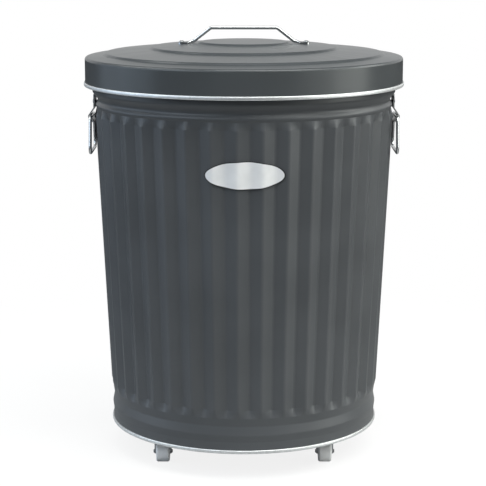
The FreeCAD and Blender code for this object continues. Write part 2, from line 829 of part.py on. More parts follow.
# Places of the drop handles and their brackets, from the neck ring that carries them.
bracket_back = neck_ring_radius + S["bracket_seat"]
bracket_face = bracket_back + S["bracket_gauge"]
pivot_reach = bracket_back + S["tunnel_stand"]
pivot_height = neck_ring_height - S["tunnel_drop"]
bracket_top = neck_ring_height + S["bracket_rise"]
bracket_foot = pivot_height - S["bracket_fall"]
bracket_top_rivet = neck_ring_height + TOP_RIVET_SHARE * S["bracket_rise"]
tunnel_bore = S["rod_radius"] + S["rod_play"]
tunnel_outer = tunnel_bore + S["bracket_gauge"]
tunnel_foot_height = (pivot_height - tunnel_outer * sine(S["tunnel_foot_angle"])
                      - (pivot_reach + tunnel_outer * cosine(S["tunnel_foot_angle"]) - bracket_face)
                      * cosine(S["tunnel_foot_angle"]) / sine(S["tunnel_foot_angle"]))
bracket_foot_rivet = (tunnel_foot_height + bracket_foot) / 2

# The wall falls away from the ring to the groove behind the upper rivet's tail.
neck_wall_slope = (neck_ring_radius - neck_groove_radius) / S["neck_ring_drop"]
top_rivet_rise = bracket_top_rivet + S["rivet_radius"] + S["rivet_tail"] / 2 - neck_ring_height
top_rivet_wall = neck_ring_radius - neck_wall_slope * top_rivet_rise


def tunnel_corner(radius, angle, up, flat):
    """Where a strip face leaves the tunnel's arc, and where it then meets the flat."""
    x = pivot_reach + radius * cosine(angle)
    z = pivot_height + up * radius * sine(angle)
    run = (x - flat) * cosine(angle) / sine(angle)
    return (x, z), (flat, z + up * run)


def make_bracket(side, sign):
    """A handle bracket: a steel strip with a tunnel pressed across it and a flat at each end."""
    body = new_body(f"{side}_handle_bracket")
    top_out, flat_top_out = tunnel_corner(tunnel_outer, S["tunnel_top_angle"], 1, bracket_face)
    foot_out, flat_foot_out = tunnel_corner(tunnel_outer, S["tunnel_foot_angle"], -1, bracket_face)
    top_in, flat_top_in = tunnel_corner(tunnel_bore, S["tunnel_top_angle"], 1, bracket_back)
    foot_in, flat_foot_in = tunnel_corner(tunnel_bore, S["tunnel_foot_angle"], -1, bracket_back)
    outline = new_sketch(body, f"{side}_bracket_outline", "XZ_Plane")
    draw_outline(outline, [
        (bracket_back, bracket_top), (bracket_face, bracket_top), flat_top_out, top_out,
        (foot_out[0], foot_out[1], tunnel_outer, -1), flat_foot_out, (bracket_face, bracket_foot),
        (bracket_back, bracket_foot), flat_foot_in, foot_in,
        (top_in[0], top_in[1], tunnel_bore, 1), flat_top_in])
    pad(body, f"{side}_strip", outline, S["bracket_width"])
    round_edges(body, f"{side}_strip_corners", strip_corner, S["bracket_corner"])
    holes = new_sketch(body, f"{side}_bracket_holes_outline", "YZ_Plane")
    for height in (bracket_top_rivet, bracket_foot_rivet):
        draw_circle(holes, 0, height, S["rivet_radius"] + S["rivet_play"])
    cut_through(body, f"{side}_bracket_holes", holes, 2 * (pivot_reach + S["cut_overrun"]))
    body.Placement = FreeCAD.Placement(V(0, 0, 0), FreeCAD.Rotation(V(0, 0, 1), 0 if sign > 0 else 180))
    return body


def strip_corner(edge):
    """Pick the four short edges across the strip's gauge at its outer corners."""
    middle = edge.CenterOfMass
    if abs(edge.Length - S["bracket_gauge"].number) > 0.01 * S["bracket_gauge"].number:
        return False
    near = 0.001 * S["foot_radius"].number
    at_end = min(abs(middle.z - bracket_top.number), abs(middle.z - bracket_foot.number)) < near
    at_side = abs(abs(middle.y) - S["bracket_width"].number / 2) < near
    return at_end and at_side


def make_handle(side, sign):
    """A drop handle: one bent rod whose two ends turn in the bracket's tunnel."""
    body = new_body(f"{side}_handle")
    low = pivot_height - S["handle_drop"]
    gap = S["handle_end_gap"]
    path = [(gap, pivot_height), (S["handle_shoulder"], pivot_height), (S["handle_half_width"], low),
            (-S["handle_half_width"], low), (-S["handle_shoulder"], pivot_height), (-gap, pivot_height)]
    sweep_rod(body, f"{side}_loop", "YZ_Plane", path, S["handle_bend"], S["rod_radius"],
              "XZ_Plane", -gap, (0, pivot_height))
    place(body, x=sign * pivot_reach)
    return body


def make_caster(name, across, along):
    """One swivel caster: plate, rivets, race ring, kingpin, fork, axle and wheel."""
    x = across * S["caster_across"]
    y = along * S["caster_along"]
    parts = []

    plate_under = S["caster_height"] - S["plate_gauge"]
    race_under = plate_under - S["race_height"]
    crown_top = race_under - S["turn_play"]
    crown_under = crown_top - S["fork_gauge"]

    plate = new_body(f"{name}_caster_plate")
    square = new_sketch(plate, f"{name}_plate_outline", "XY_Plane", plate_under)
    half = S["plate_size"] / 2
    square_corners = [(half, half), (-half, half), (-half, -half), (half, -half)]
    draw_outline(square, square_corners)
    pad(plate, f"{name}_plate", square, S["plate_gauge"], midplane=False)
    round_edges(plate, f"{name}_plate_corners", upright_at(*square_corners), S["plate_corner"])
    holes = new_sketch(plate, f"{name}_plate_holes_outline", "XY_Plane")
    reach = S["plate_rivet_pitch"] / 2
    rivet_seat = S["caster_height"] + S["sheet"] + S["rivet_play"]
    grip = S["sheet"] + S["plate_gauge"] + 2 * S["rivet_play"]
    rivet_places = []
    for right in (-1, 1):
        for back in (-1, 1):
            draw_circle(holes, right * reach, back * reach, S["rivet_radius"] + S["rivet_play"])
            rivet_places.append((x + right * reach, y + back * reach, rivet_seat, 0, grip))
    draw_circle(holes, 0, 0, S["pin_radius"] + S["run_play"])
    cut_through(plate, f"{name}_plate_holes", holes, 2 * (S["caster_height"] + S["cut_overrun"]))
    sink = S["plate_gauge"] / 2
    countersink = plate.newObject("PartDesign::Groove", f"{name}_plate_countersink")
    cone = new_sketch(plate, f"{name}_countersink_outline", "XZ_Plane")
    draw_outline(cone, [
        (0, plate_under + sink), (S["pin_radius"] + S["run_play"], plate_under + sink),
        (S["pin_radius"] + sink + S["run_play"], S["caster_height"]), (0, S["caster_height"])])
    countersink.Profile = cone
    countersink.ReferenceAxis = (cone, ["V_Axis"])
    countersink.Angle = 360
    plate.Tip = countersink
    doc.recompute()
    place(plate, x, y)
    parts.append(plate)

    parts.append(make_rivet_group(f"{name}_plate_rivets", rivet_places))

    race = new_body(f"{name}_race_ring")
    mouth = S["pin_radius"] + S["run_play"]
    race_top = plate_under - S["seam_gap"]
    groove = S["race_groove"]
    revolve(race, f"{name}_race_turned", [
        (mouth, race_under), (S["race_radius"], race_under), (S["race_radius"], race_under + groove),
        (S["race_radius"] - groove, race_under + S["race_height"] / 2),
        (S["race_radius"], plate_under - groove), (S["race_radius"], race_top), (mouth, race_top)])
    place(race, x, y)
    parts.append(race)

    pin = new_body(f"{name}_kingpin")
    head_top = crown_under - S["turn_play"]
    revolve(pin, f"{name}_pin_turned", [
        (0, head_top - S["pin_head"]), (S["pin_head_radius"] - S["pin_head"] / 2, head_top - S["pin_head"]),
        (S["pin_head_radius"], head_top - S["pin_head"] / 2), (S["pin_head_radius"], head_top),
        (S["pin_radius"], head_top), (S["pin_radius"], plate_under + sink),
        (S["pin_radius"] + sink - S["seam_gap"], S["caster_height"] - S["seam_gap"]),
        (0, S["caster_height"] - S["seam_gap"])])
    place(pin, x, y)
    parts.append(pin)

    # The wheel trails behind the kingpin, towards the front of the bin.
    axle_height = S["wheel_radius"]
    trail = -S["caster_trail"]
    inside = S["wheel_width"] / 2 + S["wheel_side_play"]
    outside = inside + S["fork_gauge"]
    fork = new_body(f"{name}_fork")
    side_view = new_sketch(fork, f"{name}_fork_outline", "YZ_Plane")
    eye = S["fork_eye"]
    crown = S["fork_crown"]
    draw_outline(side_view, [
        (-crown, crown_top), (-crown - S["fork_gauge"], crown_under),
        (trail - eye, axle_height), (trail, axle_height - eye, eye, 1), (trail + eye, axle_height, eye, 1),
        (crown, crown_under - S["fork_gauge"]), (crown, crown_top)])
    pad(fork, f"{name}_fork_blank", side_view, 2 * outside)
    hollow = new_sketch(fork, f"{name}_fork_hollow_outline", "YZ_Plane")
    wide = crown + S["caster_trail"] + eye + S["cut_overrun"]
    draw_outline(hollow, [
        (-wide, crown_under), (-wide, -S["cut_overrun"]), (wide, -S["cut_overrun"]), (wide, crown_under)])
    cut_through(fork, f"{name}_fork_hollow", hollow, 2 * inside)
    eyes = new_sketch(fork, f"{name}_fork_eyes_outline", "YZ_Plane")
    draw_circle(eyes, trail, axle_height, S["axle_radius"] + S["run_play"])
    cut_through(fork, f"{name}_fork_eyes", eyes, 2 * (outside + S["cut_overrun"]))
    bore = new_sketch(fork, f"{name}_fork_bore_outline", "XY_Plane")
    draw_circle(bore, 0, 0, S["pin_radius"] + S["run_play"])
    cut_through(fork, f"{name}_fork_bore", bore, 2 * (crown_top + S["cut_overrun"]))
    place(fork, x, y)
    parts.append(fork)

    axle = new_body(f"{name}_axle")
    end = outside + S["seam_gap"]
    tip = end + S["axle_head"]
    rounding = S["axle_head"] / 2
    revolve(axle, f"{name}_axle_turned", [
        (0, -tip), (S["axle_head_radius"] - rounding, -tip), (S["axle_head_radius"], rounding - tip),
        (S["axle_head_radius"], -end), (S["axle_radius"], -end), (S["axle_radius"], end),
        (S["axle_head_radius"], end), (S["axle_head_radius"], tip - rounding),
        (S["axle_head_radius"] - rounding, tip), (0, tip)])
    axle.Placement = FreeCAD.Placement(V(0, 0, 0), FreeCAD.Rotation(V(0, 1, 0), 90))
    place(axle, x, y + trail, axle_height)
    parts.append(axle)

    wheel = new_body(f"{name}_wheel")
    half_wide = S["wheel_width"] / 2
    rim = S["wheel_radius"] - S["wheel_rim"]
    web = S["wheel_web"] / 2
    hub = S["wheel_hub_radius"]
    hub_end = half_wide + S["wheel_side_play"] - S["turn_play"]
    bore_radius = S["axle_radius"] + S["run_play"]
    revolve(wheel, f"{name}_wheel_turned", [
        (bore_radius, -hub_end), (hub, -hub_end), (hub, -web), (rim, -web), (rim, -half_wide),
        (S["wheel_radius"], -half_wide), (S["wheel_radius"], half_wide), (rim, half_wide),
        (rim, web), (hub, web), (hub, hub_end), (bore_radius, hub_end)])
    round_edges(wheel, f"{name}_wheel_tread_edges", ring_at(
        (S["wheel_radius"], -half_wide), (S["wheel_radius"], half_wide)), S["wheel_edge"])
    wheel.Placement = FreeCAD.Placement(V(0, 0, 0), FreeCAD.Rotation(V(0, 1, 0), 90))
    place(wheel, x, y + trail, axle_height)
    parts.append(wheel)
    return parts


def make_all():
    """Build every sub-part and return them in order."""
    parts = [make_body_shell(), make_rim_wire(), make_base_pan()]
    parts.append(make_hoop("foot_hoop", flange_in, S["foot_radius"], shell_edge,
                           S["foot_hoop_gauge"], S["foot_hoop_height"]))
    parts.append(make_lid_shell())
    parts.append(make_hoop("lid_hoop", skirt_in, skirt_out, skirt_edge,
                           S["lid_hoop_gauge"], S["lid_hoop_height"]))
    parts.append(make_lid_handle())
    tab_lean = terrace_slope * S["rivet_head_radius"] + S["rivet_play"]
    tab_top = terrace_height_at(tab_middle) + S["tab_seat"] + S["tab_gauge"] + tab_lean
    tab_grip = S["sheet"] + S["tab_seat"] + S["tab_gauge"] + 2 * tab_lean
    parts.append(make_rivet_group("lid_handle_rivets", [
        (-tab_middle, 0, tab_top, 0, tab_grip), (tab_middle, 0, tab_top, 0, tab_grip)]))
    for side, sign in SIDES:
        parts.append(make_bracket(side, sign))
        face = sign * (bracket_face + S["rivet_play"])
        top_grip = bracket_face - top_rivet_wall + S["sheet"] + 4 * S["rivet_play"]
        foot_wall = crest_radius_at(bracket_foot_rivet) - S["flute_depth"] - S["sheet"]
        foot_grip = bracket_face - foot_wall + 4 * S["rivet_play"]
        parts.append(make_rivet_group(f"{side}_bracket_rivets", [
            (face, 0, bracket_top_rivet, 90 * sign, top_grip),
            (face, 0, bracket_foot_rivet, 90 * sign, foot_grip)]))
        parts.append(make_handle(side, sign))
    for name, across, along in CORNERS:
        parts.extend(make_caster(name, across, along))
    return parts


def check(parts):
    """Stop if any object of the document failed, or any sub-part has no sound shape."""
    doc.recompute()
    for item in doc.Objects:
        if "Invalid" in item.State or "Error" in item.State:
            raise ValueError(f"{item.Name} failed: {item.State}")
    for part in parts:
        if part.Shape.isNull() or not part.Shape.isValid():
            raise ValueError(f"{part.Label} has no valid shape")


parts = make_all()
check(parts)
os.makedirs("parts", exist_ok=True)
for part in parts:
    part.Shape.exportStep(os.path.join("parts", part.Label + ".step"))
print("sub-parts:", len(parts))
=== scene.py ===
"""Studio scene of a round corrugated steel bin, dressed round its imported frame.

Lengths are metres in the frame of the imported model: +Z up, -Y towards the front of the bin.
A texture's scale counts its features over a metre, and a depth is how far a bump stands proud.
"""

import json
import logging
import math
from dataclasses import dataclass, field
from enum import Enum

import bpy
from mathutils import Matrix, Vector


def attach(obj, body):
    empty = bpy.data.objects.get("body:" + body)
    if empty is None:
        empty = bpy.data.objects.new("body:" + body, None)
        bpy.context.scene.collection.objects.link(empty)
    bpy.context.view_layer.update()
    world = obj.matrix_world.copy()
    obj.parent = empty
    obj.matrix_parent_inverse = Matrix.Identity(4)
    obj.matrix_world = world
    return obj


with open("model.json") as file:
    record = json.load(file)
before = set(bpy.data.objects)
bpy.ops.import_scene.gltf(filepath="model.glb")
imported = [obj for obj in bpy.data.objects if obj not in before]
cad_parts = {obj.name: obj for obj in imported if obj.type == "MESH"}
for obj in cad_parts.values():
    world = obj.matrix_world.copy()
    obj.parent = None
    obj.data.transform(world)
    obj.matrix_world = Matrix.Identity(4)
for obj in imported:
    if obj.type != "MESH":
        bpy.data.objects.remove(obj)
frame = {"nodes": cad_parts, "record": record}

LOG = logging.getLogger("bin_scene")
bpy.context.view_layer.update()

Colour = tuple[float, float, float]
Point = tuple[float, float, float]
Span = tuple[float, float]
Node = bpy.types.Node
Socket = bpy.types.NodeSocket
Tree = bpy.types.NodeTree
Piece = bpy.types.Object

MM = 0.001
UNIT = 1.0
QUARTER_TURN = math.pi / 2
WHOLE: Span = (0.0, 1.0)
FALLING: Span = (1.0, 0.0)
WHITE: Colour = (1.0, 1.0, 1.0)


class Mixed(Enum):
    """What a Mix node mixes: its data type, and the places of its two values and of its result."""

    NUMBER = ("FLOAT", 2, 3, 0)
    COLOUR = ("RGBA", 6, 7, 2)


class Facing(Enum):
    """The way a laid sheet looks, with its sign along Y and its turn about Z."""

    FRONT = (-1, 0.0)
    BACK = (1, math.pi)

    def __init__(self, sign: int, turn: float) -> None:
        """Keep the sign and the turn by name."""
        self.sign = sign
        self.turn = turn


class Graph:
    """Adds nodes to one shader tree and joins them."""

    def __init__(self, tree: Tree) -> None:
        """Start from an empty tree."""
        self.tree = tree
        self.tree.nodes.clear()

    def add(self, kind: str, settings: dict[str, object] | None = None, **values: object) -> Node:
        """Add a node.

        Args:
            kind: The node's Blender type name without its ShaderNode prefix, or a whole type name.
            settings: Attributes of the node, such as its operation.
            **values: Input values by socket name, with underscores for spaces, or sockets to link.

        Returns:
            The new node.
        """
        whole = kind if kind.startswith("Node") else f"ShaderNode{kind}"
        node = self.tree.nodes.new(whole)
        for name, value in (settings or {}).items():
            setattr(node, name, value)
        for name, value in values.items():
            self.set(node.inputs[name.replace("_", " ")], value)
        return node

    def set(self, socket: Socket, value: object) -> None:
        """Set a socket to a value, or link it to another node's output.

        Args:
            socket: The input socket.
            value: A number, a tuple or an output socket.
        """
        if isinstance(value, Socket):
            self.tree.links.new(value, socket)
        elif socket.type == "RGBA":
            socket.default_value = (*value, 1.0)
        else:
            socket.default_value = value

    def math(self, operation: str, first: object, second: object, clamp: bool = False) -> Socket:
        """Add a Math node.

        Args:
            operation: The node's operation, such as MULTIPLY.
            first: The first value or socket.
            second: The second value or socket.
            clamp: Whether the result is held between 0 and 1.

        Returns:
            The node's output.
        """
        node = self.add("Math", {"operation": operation, "use_clamp": clamp})
        self.set(node.inputs[0], first)
        self.set(node.inputs[1], second)
        return node.outputs[0]

    def vector(self, operation: str, *values: object) -> Socket:
        """Add a Vector Math node.

        Args:
            operation: The node's operation, such as SUBTRACT.
            *values: The vectors or sockets that it works on, in order.

        Returns:
            The node's number where it measures a length, or else its vector.
        """
        node = self.add("VectorMath", {"operation": operation})
        for socket, value in zip(node.inputs, values):
            self.set(socket, value)
        return node.outputs["Value" if operation == "LENGTH" else "Vector"]

    def span(self, value: Socket, source: Span, result: Span = WHOLE) -> Socket:
        """Map a value smoothly from one span to another, held at the ends.

        Args:
            value: The socket to map.
            source: Where the value's own span starts and ends.
            result: What the start and the end become.

        Returns:
            The mapped value.
        """
        node = self.add("MapRange", {"interpolation_type": "SMOOTHSTEP"}, Value=value,
                        From_Min=source[0], From_Max=source[1], To_Min=result[0], To_Max=result[1])
        return node.outputs[0]

    def mix(self, kind: Mixed, factor: object, first: object, second: object) -> Socket:
        """Mix two colours or two numbers.

        Args:
            kind: What is mixed.
            factor: The share of the second value.
            first: The first value or socket.
            second: The second value or socket.

        Returns:
            The mixed value.
        """
        data_type, first_place, second_place, result_place = kind.value
        node = self.add("Mix", {"data_type": data_type})
        self.set(node.inputs[0], factor)
        self.set(node.inputs[first_place], first)
        self.set(node.inputs[second_place], second)
        return node.outputs[result_place]

    def noise(self, place: Socket, scale: object, detail: float, roughness: float = 0.5) -> Socket:
        """Add a Noise Texture node and give its value."""
        texture = self.add("TexNoise", Vector=place, Scale=scale, Detail=detail, Roughness=roughness)
        return texture.outputs[0]

    def effect(self, tree: Tree, **values: object) -> Node:
        """Add one of the shared node groups with its values."""
        return self.add("Group", {"node_tree": tree}, **values)

    def bump(self, height: Socket, depth: float, strength: float = 1.0,
             over: Socket | None = None) -> Socket:
        """Add a Bump node.

        Args:
            height: The height to stand proud by.
            depth: How far a height of one stands proud.
            strength: The share of the bump that shows.
            over: The normal of a broader bump that this one lies on.

        Returns:
            The bumped normal.
        """
        node = self.add("Bump", Height=height, Strength=strength, Distance=depth)
        if over is not None:
            self.set(node.inputs["Normal"], over)
        return node.outputs[0]


def start_group(name: str, inputs: dict[str, str], outputs: dict[str, str]) -> tuple[Graph, Node, Node]:
    """Start a shader node group with named sockets.

    Args:
        name: The group's name.
        inputs: The type of each input by its name.
        outputs: The type of each output by its name.

    Returns:
        The group's graph, its input node and its output node.
    """
    tree = bpy.data.node_groups.new(name, "ShaderNodeTree")
    for way, sockets in (("INPUT", inputs), ("OUTPUT", outputs)):
        for label, kind in sockets.items():
            tree.interface.new_socket(name=label, in_out=way, socket_type=f"NodeSocket{kind}")
    graph = Graph(tree)
    return graph, graph.add("NodeGroupInput"), graph.add("NodeGroupOutput")


def start_material(name: str) -> tuple[bpy.types.Material, Graph, Socket]:
    """Start a node material that reads Object coordinates.

    Args:
        name: The material's name.

    Returns:
        The material, its graph and its coordinates.
    """
    material = bpy.data.materials.new(name)
    material.use_nodes = True
    graph = Graph(material.node_tree)
    return material, graph, graph.add("TexCoord").outputs["Object"]


def toned(colour: Colour, gain: float) -> Colour:
    """Lighten or darken a colour, with no channel past white."""
    return tuple(min(1.0, gain * channel) for channel in colour)


@dataclass(frozen=True)
class Peel:
    """The fine orange-peel skin of a coating."""

    fine_detail: float = 2.0
    coarse_detail: float = 1.0
    coarse_share: float = 0.22
    shade_span: Span = (0.35, 0.65)

    def build(self) -> Tree:
        """Make the node group.

        Returns:
            A group that puts out a height and a slight shade.
        """
        graph, start, end = start_group("coating_peel", {"Vector": "Vector", "Scale": "Float"},
                                        {"Height": "Float", "Shade": "Float"})
        place, scale = start.outputs["Vector"], start.outputs["Scale"]
        fine = graph.noise(place, scale, self.fine_detail)
        coarse = graph.noise(place, graph.math("MULTIPLY", scale, self.coarse_share), self.coarse_detail)
        graph.set(end.inputs["Height"], graph.math("ADD", fine, coarse))
        graph.set(end.inputs["Shade"], graph.span(fine, self.shade_span))
        return graph.tree


@dataclass(frozen=True)
class Mottle:
    """The broad, soft unevenness of a sheet and of its colour."""

    detail: float = 3.0
    roughness: float = 0.45
    shade_span: Span = (0.3, 0.7)

    def build(self) -> Tree:
        """Make the node group.

        Returns:
            A group that puts out a height and a shade.
        """
        graph, start, end = start_group("sheet_mottle", {"Vector": "Vector", "Scale": "Float"},
                                        {"Height": "Float", "Shade": "Float"})
        broad = graph.noise(start.outputs["Vector"], start.outputs["Scale"], self.detail, self.roughness)
        graph.set(end.inputs["Height"], broad)
        graph.set(end.inputs["Shade"], graph.span(broad, self.shade_span))
        return graph.tree


@dataclass(frozen=True)
class Spangle:
    """The crystal flakes of hot-dipped zinc, with bent borders."""

    bend: float = 3.0 * MM
    bend_detail: float = 1.0

    def build(self) -> Tree:
        """Make the node group.

        Returns:
            A group that puts out one shade for each flake.
        """
        graph, start, end = start_group("zinc_spangle", {"Vector": "Vector", "Scale": "Float"},
                                        {"Shade": "Float"})
        place, scale = start.outputs["Vector"], start.outputs["Scale"]
        bend = graph.add("TexNoise", Vector=place, Scale=scale, Detail=self.bend_detail)
        bent = graph.vector("MULTIPLY_ADD", bend.outputs["Color"], (self.bend, self.bend, self.bend), place)
        flakes = graph.add("TexVoronoi", {"feature": "F1"}, Vector=bent, Scale=scale)
        shade = graph.add("SeparateColor", Color=flakes.outputs["Color"])
        graph.set(end.inputs["Shade"], shade.outputs[0])
        return graph.tree


@dataclass(frozen=True)
class Scuffs:
    """The hair scratches of handling, which lie in patches."""

    hair_stretch: Point = (1.0, 1.0, 0.07)
    hair_turn: Point = (0.35, 0.2, 0.0)
    hair_scale: float = 900.0
    hair_detail: float = 4.0
    hair_span: Span = (0.62, 0.7)
    patch_scale: float = 35.0
    patch_detail: float = 2.0
    patch_span: Span = (0.52, 0.68)

    def build(self) -> Tree:
        """Make the node group.

        Returns:
            A group that puts out a mask, held down by its amount.
        """
        graph, start, end = start_group("handling_scuffs", {"Vector": "Vector", "Amount": "Float"},
                                        {"Mask": "Float"})
        place = start.outputs["Vector"]
        stretched = graph.add("Mapping", Vector=place, Scale=self.hair_stretch, Rotation=self.hair_turn)
        hair = graph.noise(stretched.outputs[0], self.hair_scale, self.hair_detail)
        patch = graph.noise(place, self.patch_scale, self.patch_detail)
        marks = graph.math("MULTIPLY", graph.span(hair, self.hair_span), graph.span(patch, self.patch_span))
        mask = graph.math("MULTIPLY", marks, start.outputs["Amount"], clamp=True)
        graph.set(end.inputs["Mask"], mask)
        return graph.tree


@dataclass(frozen=True)
class Ripples:
    """The faint radial ripples that pressing leaves in a round lid, level at its middle and at its rim.

    The streak scale is counted on a circle of radius one, and the shares are of the way to the rim.
    """

    streak_scale: float = 5.0
    detail: float = 3.0
    roughness: float = 0.6
    rim_radius: float = 200.0 * MM
    grow_share: Span = (0.15, 0.7)
    fade_share: Span = (0.9, 1.0)

    def build(self) -> Tree:
        """Make the node group.

        Returns:
            A group that puts out a height.
        """
        graph, start, end = start_group("radial_ripples", {"Vector": "Vector"}, {"Height": "Float"})
        flat = graph.vector("MULTIPLY", start.outputs["Vector"], (1.0, 1.0, 0.0))
        streaks = graph.noise(graph.vector("NORMALIZE", flat), self.streak_scale, self.detail,
                              self.roughness)
        share = graph.math("DIVIDE", graph.vector("LENGTH", flat), self.rim_radius)
        grow = graph.span(share, self.grow_share)
        fade = graph.span(share, self.fade_share, FALLING)
        graph.set(end.inputs["Height"], graph.math("MULTIPLY", streaks, graph.math("MULTIPLY", grow, fade)))
        return graph.tree


@dataclass(frozen=True)
class OvalMask:
    """A mask that is one inside an upright oval and zero outside it."""

    edge_span: Span = (0.985, 1.005)

    def build(self) -> Tree:
        """Make the node group.

        Returns:
            A group that puts out a mask.
        """
        graph, start, end = start_group(
            "oval_mask", {"Vector": "Vector", "Centre": "Vector", "Stretch": "Vector"}, {"Mask": "Float"})
        offset = graph.vector("SUBTRACT", start.outputs["Vector"], start.outputs["Centre"])
        reach = graph.vector("LENGTH", graph.vector("MULTIPLY", offset, start.outputs["Stretch"]))
        graph.set(end.inputs["Mask"], graph.span(reach, self.edge_span, FALLING))
        return graph.tree


class Effects:
    """The effects that the finishes use, each a node group built once."""

    def __init__(self) -> None:
        """Build every group."""
        self.peel = Peel().build()
        self.mottle = Mottle().build()
        self.spangle = Spangle().build()
        self.scuffs = Scuffs().build()
        self.ripples = Ripples().build()
        self.oval = OvalMask().build()


@dataclass(frozen=True)
class PowderCoat:
    """A satin powder coating over pressed sheet."""

    name: str
    colour: Colour
    roughness: float
    gloss_swing: float = 0.03
    specular: float = 0.4
    shade_swing: float = 0.06
    peel_scale: float = 620.0
    peel_depth: float = 0.015 * MM
    peel_strength: float = 0.6
    peel_tint: float = 0.12
    sheet_scale: float = 14.0
    sheet_depth: float = 0.6 * MM
    ripple_depth: float = 0.0
    scuff_amount: float = 0.15
    scuff_gain: float = 1.7
    scuff_dulling: float = 0.15

    def build(self, effects: Effects) -> bpy.types.Material:
        """Make the material.

        Args:
            effects: The shared node groups.

        Returns:
            The finished material.
        """
        material, graph, place = start_material(self.name)
        peel = graph.effect(effects.peel, Vector=place, Scale=self.peel_scale)
        mottle = graph.effect(effects.mottle, Vector=place, Scale=self.sheet_scale)
        scuffs = graph.effect(effects.scuffs, Vector=place, Amount=self.scuff_amount)
        light = toned(self.colour, 1.0 + self.shade_swing)
        base = graph.mix(Mixed.COLOUR, mottle.outputs["Shade"], toned(self.colour, 1.0 - self.shade_swing),
                         light)
        base = graph.mix(Mixed.COLOUR, graph.math("MULTIPLY", peel.outputs["Shade"], self.peel_tint), base,
                         light)
        base = graph.mix(Mixed.COLOUR, scuffs.outputs["Mask"], base, toned(self.colour, self.scuff_gain))
        gloss = graph.span(mottle.outputs["Shade"], WHOLE,
                           (self.roughness - self.gloss_swing, self.roughness + self.gloss_swing))
        gloss = graph.math("ADD", gloss, graph.math("MULTIPLY", scuffs.outputs["Mask"], self.scuff_dulling))
        sheet = graph.bump(mottle.outputs["Height"], self.sheet_depth)
        if self.ripple_depth:
            ripples = graph.effect(effects.ripples, Vector=place)
            sheet = graph.bump(ripples.outputs["Height"], self.ripple_depth, over=sheet)
        skin = graph.bump(peel.outputs["Height"], self.peel_depth, self.peel_strength, over=sheet)
        shader = graph.add("BsdfPrincipled", Base_Color=base, Roughness=gloss, Normal=skin,
                           Specular_IOR_Level=self.specular)
        graph.add("OutputMaterial", Surface=shader.outputs[0])
        return material


@dataclass(frozen=True)
class Galvanised:
    """Bright zinc-coated steel with faint flakes.

    The dullest flakes are rougher by flake_gloss, and the brightest are smoother by polish_share of that.
    """

    name: str
    colour: Colour
    roughness: float
    flake_scale: float = 240.0
    flake_contrast: float = 0.12
    flake_gloss: float = 0.06
    polish_share: float = 1.0 / 3.0
    skin_scale: float = 900.0
    skin_depth: float = 0.03 * MM
    skin_strength: float = 0.5
    scuff_amount: float = 0.4
    scuff_gain: float = 0.55
    scuff_dulling: float = 0.2

    def build(self, effects: Effects) -> bpy.types.Material:
        """Make the material.

        Args:
            effects: The shared node groups.

        Returns:
            The finished material.
        """
        material, graph, place = start_material(self.name)
        flakes = graph.effect(effects.spangle, Vector=place, Scale=self.flake_scale)
        peel = graph.effect(effects.peel, Vector=place, Scale=self.skin_scale)
        scuffs = graph.effect(effects.scuffs, Vector=place, Amount=self.scuff_amount)
        base = graph.mix(Mixed.COLOUR, flakes.outputs["Shade"],
                         toned(self.colour, 1.0 - self.flake_contrast), self.colour)
        base = graph.mix(Mixed.COLOUR, scuffs.outputs["Mask"], base, toned(self.colour, self.scuff_gain))
        gloss = graph.span(flakes.outputs["Shade"], WHOLE, (
            self.roughness + self.flake_gloss, self.roughness - self.polish_share * self.flake_gloss))
        gloss = graph.math("ADD", gloss, graph.math("MULTIPLY", scuffs.outputs["Mask"], self.scuff_dulling))
        skin = graph.bump(peel.outputs["Height"], self.skin_depth, self.skin_strength)
        shader = graph.add("BsdfPrincipled", Base_Color=base, Metallic=1.0, Roughness=gloss, Normal=skin)
        graph.add("OutputMaterial", Surface=shader.outputs[0])
        return material


@dataclass(frozen=True)
class Moulded:
    """Moulded plastic with a fine matt skin."""

    name: str
    colour: Colour
    roughness: float
    gloss_swing: float = 0.04
    light_gain: float = 1.08
    mottle_scale: float = 90.0
    grain_scale: float = 1400.0
    grain_depth: float = 0.03 * MM
    grain_strength: float = 0.5
    scuff_amount: float = 0.5
    scuff_gain: float = 0.7

    def build(self, effects: Effects) -> bpy.types.Material:
        """Make the material.

        Args:
            effects: The shared node groups.

        Returns:
            The finished material.
        """
        material, graph, place = start_material(self.name)
        grain = graph.effect(effects.peel, Vector=place, Scale=self.grain_scale)
        mottle = graph.effect(effects.mottle, Vector=place, Scale=self.mottle_scale)
        scuffs = graph.effect(effects.scuffs, Vector=place, Amount=self.scuff_amount)
        base = graph.mix(Mixed.COLOUR, mottle.outputs["Shade"], self.colour,
                         toned(self.colour, self.light_gain))
        base = graph.mix(Mixed.COLOUR, scuffs.outputs["Mask"], base, toned(self.colour, self.scuff_gain))
        gloss = graph.span(mottle.outputs["Shade"], WHOLE,
                           (self.roughness - self.gloss_swing, self.roughness + self.gloss_swing))
        skin = graph.bump(grain.outputs["Height"], self.grain_depth, self.grain_strength)
        shader = graph.add("BsdfPrincipled", Base_Color=base, Roughness=gloss, Normal=skin)
        graph.add("OutputMaterial", Surface=shader.outputs[0])
        return material


